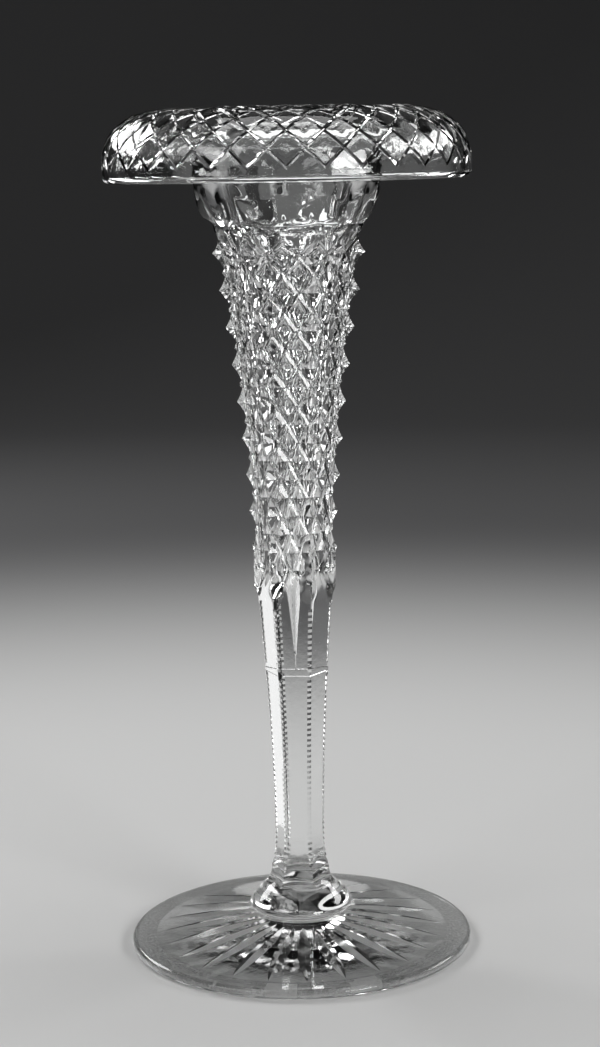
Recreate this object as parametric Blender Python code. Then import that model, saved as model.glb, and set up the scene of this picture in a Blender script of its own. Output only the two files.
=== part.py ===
"""Cut-glass posy vase: a trumpet bowl with a turned-over rim, a six-sided stem, a collar and a star-cut foot.

Metres, +Z up. The origin is the centre of the face the foot stands on, and one panel of the stem faces -Y.
"""

import math

import bmesh
import bpy
import numpy as np

# Fits between fused pieces
JOINT_GAP = 0.0003

# Foot
FOOT_RADIUS = 0.0619
FOOT_EDGE_THICKNESS = 0.0036
FOOT_HEIGHT = 0.012
FOOT_DISHING = 1.3
SEAT_MARGIN = 0.001
REST_RING_WIDTH = 0.0075
UNDERSIDE_RECESS = 0.002
STAR_RAYS = 24
STAR_CENTRE_RADIUS = 0.012
STAR_MARGIN = 0.0015
RAY_WIDTH = 0.0052
RAY_DEPTH = 0.0019
RAY_SHARES = (0.0, 0.6, 1.0, 0.72, 0.0)

# Collar
COLLAR_RADIUS = 0.0186
COLLAR_HEIGHT = 0.0155
COLLAR_BEAD_RADIUS = 0.0016
COLLAR_FLARE = 3.0
COLLAR_LEDGE = 0.0003

# Stem, solid below the joint and drawn from the bowl above it
STEM_LENGTH = 0.0721
UPPER_STEM_LENGTH = 0.0319
STEM_WAIST_RADIUS = 0.009
STEM_WAIST_RISE = 0.012
STEM_BASE_RADIUS = 0.0101
STEM_BASE_FLARE = 2.0
STEM_HEAD_RADIUS = 0.0137
STEM_FLARE = 1.65
NOTCH_PITCH = 0.002
NOTCH_DEPTH = 0.00045
NOTCH_REACH = 0.0009
UPPER_NOTCH_RUN = 0.0245
NOTCH_END_MARGIN = 0.0015

# Body of the bowl, cut with pointed diamonds
BODY_DIAMONDS = 12
BODY_ROWS = 10
ROW_PITCH = 0.013
BODY_HEAD_RADIUS = 0.0268
BODY_FOOT_RADIUS = 0.0153
BODY_FLARE = 1.55
RIDGE_RADIUS = 0.015
BODY_SIXNESS = 0.8
CUT_DEPTH_HEAD = 0.0036
CUT_DEPTH_FOOT = 0.0022
BOWL_WALL = 0.0035
BORE_FOOT_RADIUS = 0.003
BORE_DRAWN_RADIUS = 0.0014
BORE_TIP_RADIUS = 0.0005
BORE_FLOOR = 0.0068

# Neck
NECK_WAIST_RADIUS = 0.0262
NECK_FOOT_RADIUS = 0.0301
NECK_HEAD_RADIUS = 0.0325
NECK_HEIGHT = 0.0106
TONGUE_RISE = 0.0071
CUSP_RISE = 0.0041

# Turned-over rim, cut with flat diamonds
CREST_RISE = 0.0366
CREST_RADIUS = 0.039
RIM_RADIUS = 0.0637
RIM_WALL = 0.0046
RIM_SHOULDER_DROP = 0.0208
RIM_SHOULDER_SQUARENESS = 2.5
RIM_UPRIGHT = 0.0014
RIM_PLAIN_BAND = 0.0048
RIM_DIAMONDS = 32
RIM_ROWS = 8
DIAMOND_STEEPNESS = 0.97
GROOVE_HALF_WIDTH = 0.00065
GROOVE_DEPTH = 0.00055
THROAT_BELL = 0.6

# Facets on turned surfaces
TURNED_SEGMENTS = 48
BORE_SEGMENTS = 24
PATH_STEPS = 60
SAME_ANGLE = 1e-6

# Heights, stacked from the table
COLLAR_BASE = FOOT_HEIGHT + JOINT_GAP
COLLAR_TOP = COLLAR_BASE + COLLAR_HEIGHT
STEM_BASE = COLLAR_TOP + JOINT_GAP
STEM_TOP = STEM_BASE + STEM_LENGTH
BOWL_BASE = STEM_TOP + JOINT_GAP
PANEL_HEAD = BOWL_BASE + UPPER_STEM_LENGTH
ROW_RISE = ROW_PITCH / 2
BODY_LEVELS = 2 * BODY_ROWS
THROAT_LEVEL = BODY_LEVELS - 2
BODY_TOP = PANEL_HEAD + BODY_LEVELS * ROW_RISE
CREST_HEIGHT = BODY_TOP + CREST_RISE
SIDES = 6
GLASS_COLOUR = (0.93, 0.95, 0.95, 1.0)
GLASS_ROUGHNESS = 0.03
GLASS_IOR = 1.54
SHARP_ANGLE = math.radians(14)


def polar(radius, angle, height):
    """A point at a radius and an angle about the axis."""
    return (radius * math.cos(angle), radius * math.sin(angle), height)


def six_sided(angle, sixness):
    """Share of the corner radius at an angle: a circle where sixness is 0, a true hexagon where it is 1."""
    half_side = math.pi / SIDES
    from_middle = angle % (2 * half_side) - half_side
    return 1 + sixness * (math.cos(half_side) / math.cos(from_middle) - 1)


def turned_ring(bm, count, radius, height, sixness=0.0):
    """A ring of vertices round the axis, counted from +X."""
    angles = [2 * math.pi * k / count for k in range(count)]
    return [bm.verts.new(polar(radius * six_sided(a, sixness), a, height)) for a in angles]


def ring_angle(vertex):
    """Angle of a vertex about the axis, from 0 at +X to a full turn."""
    return math.atan2(vertex.co.y, vertex.co.x) % (2 * math.pi)


def stitch(bm, first, second):
    """Faces between two rings: quads where the counts match, otherwise triangles walked by angle."""
    if len(first) == len(second):
        for k in range(len(first)):
            j = (k + 1) % len(first)
            bm.faces.new((first[k], first[j], second[j], second[k]))
        return
    sparse, dense = sorted((first, second), key=len)
    sparse_ends = [ring_angle(v) for v in sparse[1:]] + [2 * math.pi]
    dense_ends = [ring_angle(v) for v in dense[1:]] + [2 * math.pi]
    i = j = 0
    while i < len(sparse) or j < len(dense):
        here = sparse[i % len(sparse)]
        there = dense[j % len(dense)]
        if j == len(dense) or (i < len(sparse) and sparse_ends[i] <= dense_ends[j] + SAME_ANGLE):
            i += 1
            bm.faces.new((here, there, sparse[i % len(sparse)]))
        else:
            j += 1
            bm.faces.new((here, there, dense[j % len(dense)]))


def stitch_all(bm, rings):
    """Faces between each ring and the next."""
    for lower, upper in zip(rings, rings[1:]):
        stitch(bm, lower, upper)


def facet_band(bm, lower, upper, rises):
    """Two triangles a cell between equal rings, parted by an edge that rises or falls to the next column."""
    count = len(lower)
    for k in range(count):
        j = (k + 1) % count
        if rises(k):
            bm.faces.new((lower[k], lower[j], upper[j]))
            bm.faces.new((lower[k], upper[j], upper[k]))
        else:
            bm.faces.new((lower[k], lower[j], upper[k]))
            bm.faces.new((lower[j], upper[j], upper[k]))


def glass(name):
    """A clear, colourless lead glass."""
    material = bpy.data.materials.new(name)
    material.use_nodes = True
    shader = material.node_tree.nodes["Principled BSDF"]
    shader.inputs["Base Color"].default_value = GLASS_COLOUR
    shader.inputs["Roughness"].default_value = GLASS_ROUGHNESS
    shader.inputs["Metallic"].default_value = 0.0
    shader.inputs["IOR"].default_value = GLASS_IOR
    shader.inputs["Transmission Weight"].default_value = 1.0
    return material


def add_piece(name, bm, parent):
    """The finished mesh as a named object under its parent."""
    bmesh.ops.recalc_face_normals(bm, faces=bm.faces)
    mesh = bpy.data.meshes.new(name)
    bm.to_mesh(mesh)
    bm.free()
    mesh.shade_smooth()
    mesh.set_sharp_from_angle(angle=SHARP_ANGLE)
    mesh.materials.append(glass(name + "_glass"))
    piece = bpy.data.objects.new(name, mesh)
    piece.parent = parent
    bpy.context.scene.collection.objects.link(piece)
    return piece


def foot_top(radius):
    """Height of the foot's upper face, dished from the edge up to the collar's seat."""
    edge = FOOT_RADIUS - FOOT_EDGE_THICKNESS / 2
    seat = COLLAR_RADIUS + SEAT_MARGIN
    share = (edge - radius) / (edge - seat)
    return FOOT_EDGE_THICKNESS + (FOOT_HEIGHT - FOOT_EDGE_THICKNESS) * share**FOOT_DISHING


def star_ring(bm, radius, underside, share):
    """One ring across the star: the lips and keel of each ray, at a share of the ray's full width."""
    half_angle = share * RAY_WIDTH / 2 / radius
    ring = []
    for ray in range(STAR_RAYS):
        angle = 2 * math.pi * (ray + 0.5) / STAR_RAYS
        keel = polar(radius, angle, underside + share * RAY_DEPTH)
        lips = [polar(radius, angle + side * half_angle, underside) for side in (-1, 1)]
        points = (lips[0], keel, lips[1]) if share > 0 else (keel,)
        ring += [bm.verts.new(point) for point in points]
    return ring


def build_foot(parent):
    """A round foot, dished on top, with a flat resting ring and a star cut in its hollow underside."""
    bm = bmesh.new()
    edge_round = FOOT_EDGE_THICKNESS / 2
    edge_centre = FOOT_RADIUS - edge_round
    rest_inner = edge_centre - REST_RING_WIDTH
    star_outer = rest_inner - STAR_MARGIN

    def underside(radius):
        return UNDERSIDE_RECESS * (1 - (radius / rest_inner) ** 2)

    rings = []
    for step, share in enumerate(RAY_SHARES):
        travel = step / (len(RAY_SHARES) - 1)
        radius = STAR_CENTRE_RADIUS + (star_outer - STAR_CENTRE_RADIUS) * travel
        rings.append(star_ring(bm, radius, underside(radius), share))
    bm.faces.new(rings[0])
    rings.append(turned_ring(bm, TURNED_SEGMENTS, rest_inner, 0.0))
    edge_steps = 5
    for step in range(edge_steps + 1):
        angle = -math.pi / 2 + math.pi * step / edge_steps
        height = edge_round + edge_round * math.sin(angle)
        rings.append(turned_ring(bm, TURNED_SEGMENTS, edge_centre + edge_round * math.cos(angle), height))
    seat = COLLAR_RADIUS + SEAT_MARGIN
    dish_steps = 6
    for step in range(1, dish_steps + 1):
        radius = edge_centre + (seat - edge_centre) * step / dish_steps
        rings.append(turned_ring(bm, TURNED_SEGMENTS, radius, foot_top(radius)))
    stitch_all(bm, rings)
    bm.faces.new(rings[-1])
    return add_piece("foot", bm, parent)


def build_collar(parent):
    """A bell-shaped collar that spreads from the six-sided stem to a round bead on the foot."""
    bm = bmesh.new()
    bead_centre_height = COLLAR_BASE + COLLAR_BEAD_RADIUS
    bead_centre_radius = COLLAR_RADIUS - COLLAR_BEAD_RADIUS
    rings = []
    bead_steps = 4
    for step in range(bead_steps):
        angle = -math.pi / 2 + math.pi / 2 * step / bead_steps
        radius = bead_centre_radius + COLLAR_BEAD_RADIUS * math.cos(angle)
        height = bead_centre_height + COLLAR_BEAD_RADIUS * math.sin(angle)
        rings.append(turned_ring(bm, TURNED_SEGMENTS, radius, height))
    top_radius = STEM_BASE_RADIUS + COLLAR_LEDGE
    flare_steps = 9
    for step in range(flare_steps + 1):
        share = 1 - step / flare_steps
        height = bead_centre_height + (COLLAR_TOP - bead_centre_height) * (1 - share)
        radius = top_radius + (COLLAR_RADIUS - top_radius) * math.sin(math.pi / 2 * share) ** COLLAR_FLARE
        sixness = max(0.0, 1 - 2 * share)
        rings.append(turned_ring(bm, TURNED_SEGMENTS, radius, height, sixness))
    stitch_all(bm, rings)
    bm.faces.new(rings[0])
    bm.faces.new(rings[-1])
    return add_piece("collar", bm, parent)


def stem_radius(height):
    """Corner radius of the six-sided stem, which spreads below its waist and flares above it."""
    waist = STEM_BASE + STEM_WAIST_RISE
    if height < waist:
        share = (waist - height) / STEM_WAIST_RISE
        return STEM_WAIST_RADIUS + (STEM_BASE_RADIUS - STEM_WAIST_RADIUS) * share**STEM_BASE_FLARE
    share = (height - waist) / (PANEL_HEAD - waist)
    return STEM_WAIST_RADIUS + (STEM_HEAD_RADIUS - STEM_WAIST_RADIUS) * share**STEM_FLARE


def panel_ring(bm, height, notch):
    """A hexagon with a narrow strip each side of every corner, the corner itself cut back by notch."""
    radius = stem_radius(height)
    corners = [np.array(polar(radius, 2 * math.pi * k / SIDES, height)) for k in range(SIDES)]
    ring = []
    for k, corner in enumerate(corners):
        following = corners[(k + 1) % SIDES]
        along = (following - corner) / np.linalg.norm(following - corner)
        ring.append(bm.verts.new(polar(radius - notch, 2 * math.pi * k / SIDES, height)))
        ring.append(bm.verts.new(corner + along * NOTCH_REACH))
        ring.append(bm.verts.new(following - along * NOTCH_REACH))
    return ring


def notched_rings(bm, start, end):
    """Panel rings between two heights, with a V notch in every corner at each notch pitch."""
    count = max(1, round((end - start) / NOTCH_PITCH))
    pitch = (end - start) / count
    rings = [panel_ring(bm, start, 0.0)]
    for k in range(count):
        rings.append(panel_ring(bm, start + (k + 0.5) * pitch, NOTCH_DEPTH))
        rings.append(panel_ring(bm, start + (k + 1) * pitch, 0.0))
    return rings


def build_stem(parent):
    """The solid six-sided stem with finely notched corners."""
    bm = bmesh.new()
    rings = [panel_ring(bm, STEM_BASE, 0.0)]
    rings += notched_rings(bm, STEM_BASE + NOTCH_END_MARGIN, STEM_TOP - NOTCH_END_MARGIN)
    rings.append(panel_ring(bm, STEM_TOP, 0.0))
    stitch_all(bm, rings)
    bm.faces.new(rings[0])
    bm.faces.new(rings[-1])
    return add_piece("stem", bm, parent)


def level_height(level):
    """Height of a level of the body's net, counted from the heads of the stem's panels."""
    return PANEL_HEAD + level * ROW_RISE


def body_taper(level):
    """Share of the way up the body's flare, 0 at the lowest corner points and 1 at the highest."""
    return (level - 2) / (BODY_LEVELS - 4)


def body_sixness(level):
    """How six-sided the body is: a hexagon at the panels, softer up the body and round at the neck."""
    if level == 0:
        return 1.0
    return BODY_SIXNESS * min(1.0, (BODY_LEVELS - level) / 2)


def cut_depth(level):
    """Depth of the body's cuts below the points of its diamonds."""
    share = min(1.0, max(0.0, body_taper(level)))
    return CUT_DEPTH_FOOT + (CUT_DEPTH_HEAD - CUT_DEPTH_FOOT) * share


def point_radius(level):
    """Radius of the diamonds' points at a level, on a corner of the body, drawn in below the neck."""
    if level == 0:
        return STEM_HEAD_RADIUS
    if level == BODY_LEVELS:
        return NECK_FOOT_RADIUS
    if level == BODY_LEVELS - 1:
        return NECK_WAIST_RADIUS
    share = max(0.0, body_taper(level))
    return BODY_FOOT_RADIUS + (BODY_HEAD_RADIUS - BODY_FOOT_RADIUS) * share**BODY_FLARE


def body_vertex_radius(level, column):
    """Radius at a vertex of the body's net: a point, a crossing of cuts, a scoop or a stem edge's head."""
    angle = math.pi * column / BODY_DIAMONDS
    columns_per_side = 2 * BODY_DIAMONDS // SIDES
    if level == 1 and column % columns_per_side == 0:
        return RIDGE_RADIUS
    surface = point_radius(level) * six_sided(angle, body_sixness(level))
    is_point = (level + column) % 2 == 0
    if level == BODY_LEVELS:
        is_point = column % 2 == 1
    return surface if is_point or level == 0 else surface - cut_depth(level)


def bore_radius(level):
    """Radius of the bore: a wall inside the deepest cut near the level, or a taper where that is less."""
    columns = range(2 * BODY_DIAMONDS)
    levels = (level, min(level + 1, BODY_LEVELS))
    walled = min(body_vertex_radius(n, c) for n in levels for c in columns) - BOWL_WALL
    if level == THROAT_LEVEL:
        return walled
    spread = bore_radius(THROAT_LEVEL) - BORE_FOOT_RADIUS
    return min(walled, BORE_FOOT_RADIUS + spread * level / THROAT_LEVEL)


def rim_path():
    """Radius, height and run of the rim's outer face, from its upright, over the crest, to the throat."""
    shoulder_height = CREST_HEIGHT - RIM_SHOULDER_DROP
    upright = [(RIM_RADIUS, shoulder_height - RIM_UPRIGHT)]
    quarter = np.linspace(0.0, math.pi / 2, PATH_STEPS)
    power = 2 / RIM_SHOULDER_SQUARENESS
    shoulder = [
        (
            CREST_RADIUS + (RIM_RADIUS - CREST_RADIUS) * max(0.0, math.cos(t)) ** power,
            shoulder_height + RIM_SHOULDER_DROP * math.sin(t) ** power,
        )
        for t in quarter
    ]
    throat_radius = bore_radius(THROAT_LEVEL)
    throat_depth = CREST_HEIGHT - level_height(THROAT_LEVEL)
    throat = [
        (
            throat_radius + (CREST_RADIUS - throat_radius) * (1 - drop**THROAT_BELL),
            CREST_HEIGHT - throat_depth * drop,
        )
        for drop in np.linspace(0.0, 1.0, PATH_STEPS)[1:] ** 2
    ]
    points = np.array(upright + shoulder + throat)
    lengths = np.concatenate(([0.0], np.cumsum(np.linalg.norm(np.diff(points, axis=0), axis=1))))
    return points[:, 0], points[:, 1], lengths


class RimFace:
    """The rim's outer face, read by the length run along it."""

    def __init__(self):
        self.radii, self.heights, self.lengths = rim_path()
        self.length = float(self.lengths[-1])

    def radius(self, run):
        """Radius at a run."""
        return float(np.interp(run, self.lengths, self.radii))

    def height(self, run):
        """Height at a run."""
        return float(np.interp(run, self.lengths, self.heights))

    def sunk(self, run, depth):
        """Radius and height of a point sunk below the face along its normal."""
        step = GROOVE_HALF_WIDTH
        along_radius = self.radius(run + step) - self.radius(run - step)
        along_height = self.height(run + step) - self.height(run - step)
        size = math.hypot(along_radius, along_height)
        return (
            self.radius(run) - depth * along_height / size,
            self.height(run) + depth * along_radius / size,
        )


def rim_runs(face):
    """Runs of the levels where the rim's cuts cross, spaced to keep the cuts' slope as the radius changes."""
    runs = [RIM_PLAIN_BAND - RIM_WALL / 2]
    for _ in range(RIM_ROWS):
        runs.append(runs[-1] + DIAMOND_STEEPNESS * face.radius(runs[-1]) * math.pi / RIM_DIAMONDS)
    return runs


def cut_rim(bm, face):
    """The rim's net of V cuts: returns the plain rings below and above it, and the run where it ends."""
    columns = 2 * RIM_DIAMONDS
    angles = [2 * math.pi * c / columns for c in range(columns)]
    runs = rim_runs(face)
    lip = GROOVE_HALF_WIDTH * math.sqrt(2)
    net = {}
    for level, run in enumerate(runs):
        radius, height = face.sunk(run, GROOVE_DEPTH)
        for c in range((level + 1) % 2, columns, 2):
            net[level, c] = bm.verts.new(polar(radius, angles[c], height))
    below = turned_ring(bm, columns, face.radius(runs[0] - lip), face.height(runs[0] - lip))
    above = turned_ring(bm, columns, face.radius(runs[-1] + lip), face.height(runs[-1] + lip))
    diamonds = []
    for level in range(1, RIM_ROWS):
        for c in range(level % 2, columns, 2):
            left = (c - 1) % columns
            right = (c + 1) % columns
            corners = (net[level - 1, c], net[level, right], net[level + 1, c], net[level, left])
            diamonds.append(bm.faces.new(corners))
    for level, toward, ring, lift in ((0, 1, below, -lip), (RIM_ROWS, RIM_ROWS - 1, above, lip)):
        run = runs[toward] + lift
        for c in range(level % 2, columns, 2):
            left = (c - 1) % columns
            right = (c + 1) % columns
            apex = bm.verts.new(polar(face.radius(run), angles[c], face.height(run)))
            bm.faces.new((net[level, left], ring[left], apex, net[toward, c]))
            bm.faces.new((net[level, right], ring[right], apex, net[toward, c]))
            bm.faces.new((apex, ring[left], ring[c], ring[right]))
    bmesh.ops.recalc_face_normals(bm, faces=bm.faces)
    bmesh.ops.inset_individual(
        bm, faces=diamonds, thickness=GROOVE_HALF_WIDTH, depth=GROOVE_DEPTH, use_even_offset=True
    )
    return below, above, runs[-1] + lip


def underside_rings(bm, face):
    """Rings from the rim's lower edge up inside the turned-over wall, over its roof and down the neck."""
    edge_round = RIM_WALL / 2
    edge_height = face.height(0.0)
    rings = []
    edge_steps = 4
    for step in range(1, edge_steps + 1):
        angle = -math.pi * step / edge_steps
        radius = RIM_RADIUS - edge_round + edge_round * math.cos(angle)
        rings.append(turned_ring(bm, TURNED_SEGMENTS, radius, edge_height + edge_round * math.sin(angle)))
    power = 2 / RIM_SHOULDER_SQUARENESS
    roof_steps = 6
    for step in range(roof_steps + 1):
        angle = math.pi / 2 * step / roof_steps
        radius = CREST_RADIUS + (RIM_RADIUS - RIM_WALL - CREST_RADIUS) * max(0.0, math.cos(angle)) ** power
        rise = (RIM_SHOULDER_DROP - RIM_WALL) * math.sin(angle) ** power
        rings.append(turned_ring(bm, TURNED_SEGMENTS, radius, CREST_HEIGHT - RIM_SHOULDER_DROP + rise))
    neck_steps = 4
    neck_head = BODY_TOP + NECK_HEIGHT
    for step in range(1, neck_steps + 1):
        angle = math.pi / 2 * step / neck_steps
        radius = CREST_RADIUS - (CREST_RADIUS - NECK_HEAD_RADIUS) * math.sin(angle)
        height = neck_head + (CREST_HEIGHT - RIM_WALL - neck_head) * math.cos(angle)
        rings.append(turned_ring(bm, TURNED_SEGMENTS, radius, height))
    return rings


def neck_edge(bm):
    """The neck's lower edge: an arch over each scoop below it, with cusps between."""
    columns = 2 * BODY_DIAMONDS
    ring = []
    for c in range(columns):
        rise = CUSP_RISE if c % 2 else TONGUE_RISE
        radius = NECK_FOOT_RADIUS + (NECK_HEAD_RADIUS - NECK_FOOT_RADIUS) * rise / NECK_HEIGHT
        ring.append(bm.verts.new(polar(radius, math.pi * c / BODY_DIAMONDS, BODY_TOP + rise)))
    return ring


def body_rings(bm):
    """The rings of the body's net, from the heads of the stem's panels to the neck."""
    rings = []
    for level in range(BODY_LEVELS + 1):
        ring = []
        for column in range(2 * BODY_DIAMONDS):
            angle = math.pi * column / BODY_DIAMONDS
            ring.append(bm.verts.new(polar(body_vertex_radius(level, column), angle, level_height(level))))
        rings.append(ring)
    return rings


def bore_rings(bm, face, start):
    """Rings of the hollow, from the end of the rim's net down the throat and the tapering bore."""
    throat_steps = 5
    rings = []
    for step in range(1, throat_steps + 1):
        run = start + (face.length - start) * step / throat_steps
        rings.append(turned_ring(bm, TURNED_SEGMENTS, face.radius(run), face.height(run)))
    for level in range(THROAT_LEVEL - 2, -1, -2):
        rings.append(turned_ring(bm, BORE_SEGMENTS, bore_radius(level), level_height(level)))
    tip_height = BOWL_BASE + BORE_FLOOR
    rings.append(turned_ring(bm, BORE_SEGMENTS, BORE_DRAWN_RADIUS, (PANEL_HEAD + tip_height) / 2))
    rings.append(turned_ring(bm, BORE_SEGMENTS, BORE_TIP_RADIUS, tip_height))
    return rings


def build_bowl(parent):
    """The blown bowl: drawn upper stem, diamond-cut body, plain neck, turned-over rim and hollow."""
    bm = bmesh.new()
    face = RimFace()
    below, above, net_end = cut_rim(bm, face)
    lower_band = turned_ring(bm, 2 * RIM_DIAMONDS, RIM_RADIUS, face.height(0.0))
    tongues = neck_edge(bm)
    stitch_all(bm, [below, lower_band] + underside_rings(bm, face) + [tongues])
    levels = body_rings(bm)
    facet_band(bm, levels[-1], tongues, lambda c: c % 2 == 0)
    for n in range(BODY_LEVELS):
        facet_band(bm, levels[n], levels[n + 1], lambda c, n=n: (c + n) % 2 == 1)
    stem_rings = [panel_ring(bm, BOWL_BASE, 0.0)]
    stem_rings += notched_rings(bm, BOWL_BASE + NOTCH_END_MARGIN, BOWL_BASE + UPPER_NOTCH_RUN)
    stitch_all(bm, [levels[0]] + stem_rings[::-1])
    bm.faces.new(stem_rings[0])
    hollow = bore_rings(bm, face, net_end)
    stitch_all(bm, [above] + hollow)
    bm.faces.new(hollow[-1])
    return add_piece("bowl", bm, parent)


def main():
    """Builds the four fused pieces of the vase under one empty."""
    for old in list(bpy.data.objects):
        bpy.data.objects.remove(old, do_unlink=True)
    vase = bpy.data.objects.new("posy_vase", None)
    bpy.context.scene.collection.objects.link(vase)
    build_foot(vase)
    build_collar(vase)
    build_stem(vase)
    build_bowl(vase)


main()
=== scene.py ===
"""Looks of a cut-glass posy vase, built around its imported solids.

Metres, +Z up. The vase's axis is Z, its foot stands at Z = 0, and one panel of its stem faces -Y.
"""

import logging
import math
from dataclasses import dataclass, field
from enum import Enum
from typing import Callable

import bmesh
import bpy
import numpy as np
from mathutils import Matrix, Vector


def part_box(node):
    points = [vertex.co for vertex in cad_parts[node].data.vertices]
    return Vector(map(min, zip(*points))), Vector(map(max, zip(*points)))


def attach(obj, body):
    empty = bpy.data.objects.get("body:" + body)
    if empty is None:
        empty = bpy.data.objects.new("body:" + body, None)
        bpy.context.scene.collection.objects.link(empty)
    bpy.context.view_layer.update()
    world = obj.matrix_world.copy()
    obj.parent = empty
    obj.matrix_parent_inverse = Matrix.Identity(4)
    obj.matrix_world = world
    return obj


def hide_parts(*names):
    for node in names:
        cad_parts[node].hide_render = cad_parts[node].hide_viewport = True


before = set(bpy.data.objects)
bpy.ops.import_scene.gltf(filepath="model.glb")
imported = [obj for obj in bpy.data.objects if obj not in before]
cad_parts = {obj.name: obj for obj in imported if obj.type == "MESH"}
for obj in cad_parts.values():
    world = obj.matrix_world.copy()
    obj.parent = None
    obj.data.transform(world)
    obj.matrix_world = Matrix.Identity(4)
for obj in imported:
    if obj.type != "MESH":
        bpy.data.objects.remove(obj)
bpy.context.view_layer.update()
LOG = logging.getLogger("posy_vase")

FULL_TURN = 2 * math.pi
HALF_TURN = math.pi
QUARTER_TURN = math.pi / 2
SIDES = 6
FINE_COLUMNS = 192
DRAWN_STEM = 0.0319
UNIT_HALF = 0.5
WELD = 2e-6
ROLLED_WELD = 1e-3
KEY_DIGITS = 7
SHARP_ANGLE = math.radians(15)

Profile = list[tuple[float, float]]
Row = tuple[float, float, float]
Place = tuple[float, float, float]
Colour = tuple[float, float, float, float]


class Surface(Enum):
    """The kinds of surface on a piece of glass, by material index."""

    CUT = 0
    BLOWN = 1
    SEAM = 2
    WORN = 3
    BORE = 4
    STAR = 5


Finishes = dict[Surface, bpy.types.Material]


def polar(radius: float, angle: float, height: float) -> Vector:
    """A point at a radius and an angle about the axis."""
    return Vector((radius * math.cos(angle), radius * math.sin(angle), height))


def turn_of(vert: bmesh.types.BMVert) -> float:
    """Angle of a vertex about the axis, from 0 at +X to a full turn."""
    return math.atan2(vert.co.y, vert.co.x) % FULL_TURN


def six_sided(angle: float, sixness: float) -> float:
    """Share of the corner radius at an angle.

    Args:
        angle: Angle about the axis.
        sixness: 0 for a circle, 1 for a true hexagon.

    Returns:
        1 at the corners, and less at the sides between them.
    """
    half_side = HALF_TURN / SIDES
    from_middle = angle % (2 * half_side) - half_side
    return 1 + sixness * (math.cos(half_side) / math.cos(from_middle) - 1)


def eased(share: float) -> float:
    """Eases a share in and out, and holds it between 0 and 1."""
    share = min(1.0, max(0.0, share))
    return share * share * (3 - 2 * share)


def seam_height(lower: str, upper: str) -> float:
    """Height of the fused seam between two nodes, in the middle of their gap."""
    return (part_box(lower)[1].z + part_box(upper)[0].z) / 2


class Net:
    """A net of vertices rolled up about the axis, read by row and column."""

    def __init__(self, bm: bmesh.types.BMesh, rows: int, columns: int, surface: Surface) -> None:
        """Rolls a flat grid into a net.

        Args:
            bm: The mesh that takes the net.
            rows: Rows of vertices, from the first to the last.
            columns: Columns round the axis, counted from +X.
            surface: The kind of surface of its faces.
        """
        self.columns = columns
        self.rows = rows
        sheet = bmesh.ops.create_grid(bm, x_segments=columns, y_segments=rows - 1, size=UNIT_HALF)["verts"]
        for vert in sheet:
            angle = FULL_TURN * (vert.co.x + UNIT_HALF)
            vert.co = polar(1.0, angle, (vert.co.y + UNIT_HALF) * (rows - 1))
        bmesh.ops.remove_doubles(bm, verts=sheet, dist=ROLLED_WELD)
        self.verts = {}
        for vert in sheet:
            if vert.is_valid:
                column = round(turn_of(vert) * columns / FULL_TURN) % columns
                self.verts[round(vert.co.z), column] = vert
        self.faces = {face for vert in self.verts.values() for face in vert.link_faces}
        for face in self.faces:
            face.material_index = surface.value

    def angle(self, column: int) -> float:
        """Angle of a column about the axis."""
        return FULL_TURN * column / self.columns

    def row(self, row: int) -> list[bmesh.types.BMVert]:
        """The vertices of a row, by column."""
        return [self.verts[row % self.rows, column] for column in range(self.columns)]

    def place(self, where: Callable[[int, int], Vector]) -> None:
        """Moves every vertex to the point that a function of row and column gives."""
        for (row, column), vert in self.verts.items():
            vert.co = where(row, column)

    def place_turned(self, profile: Profile) -> None:
        """Moves the rows to the radii and heights of a turned profile."""
        self.place(lambda row, column: polar(profile[row][0], self.angle(column), profile[row][1]))


def close_end(bm: bmesh.types.BMesh, ring: list[bmesh.types.BMVert], surface: Surface) -> None:
    """Closes a ring of vertices with one flat face."""
    face = bm.faces.new(ring)
    face.material_index = surface.value


def mesh_from(name: str, bm: bmesh.types.BMesh) -> bpy.types.Mesh:
    """Turns a bmesh into a named mesh, and frees it.

    Args:
        name: Name of the mesh.
        bm: The bmesh, which can't be used afterwards.

    Returns:
        The mesh.
    """
    mesh = bpy.data.meshes.new(name)
    bm.to_mesh(mesh)
    bm.free()
    return mesh


def add_object(name: str, data: bpy.types.ID) -> bpy.types.Object:
    """Adds an object to the scene.

    Args:
        name: Name of the object.
        data: Its mesh, lamp or camera.

    Returns:
        The object, at the origin.
    """
    thing = bpy.data.objects.new(name, data)
    bpy.context.scene.collection.objects.link(thing)
    return thing


def finish_piece(name: str, bm: bmesh.types.BMesh, finishes: Finishes) -> bpy.types.Object:
    """Welds and closes a mesh, and stands it in for its node.

    Args:
        name: Name of the node that the piece replaces.
        bm: The piece's mesh, in place.
        finishes: The material of each kind of surface.

    Returns:
        The finished object.
    """
    bmesh.ops.remove_doubles(bm, verts=bm.verts, dist=WELD)
    bmesh.ops.dissolve_degenerate(bm, edges=bm.edges, dist=WELD)
    bmesh.ops.recalc_face_normals(bm, faces=bm.faces)
    open_edges = sum(1 for edge in bm.edges if not edge.is_manifold)
    mesh = mesh_from(name + "_crystal", bm)
    mesh.shade_smooth()
    mesh.set_sharp_from_angle(angle=SHARP_ANGLE)
    for surface in Surface:
        mesh.materials.append(finishes[surface])
    piece = add_object(name + "_crystal", mesh)
    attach(piece, "root")
    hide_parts(name)
    LOG.info("%s: %d faces, %d open edges", piece.name, len(mesh.polygons), open_edges)
    return piece


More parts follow.
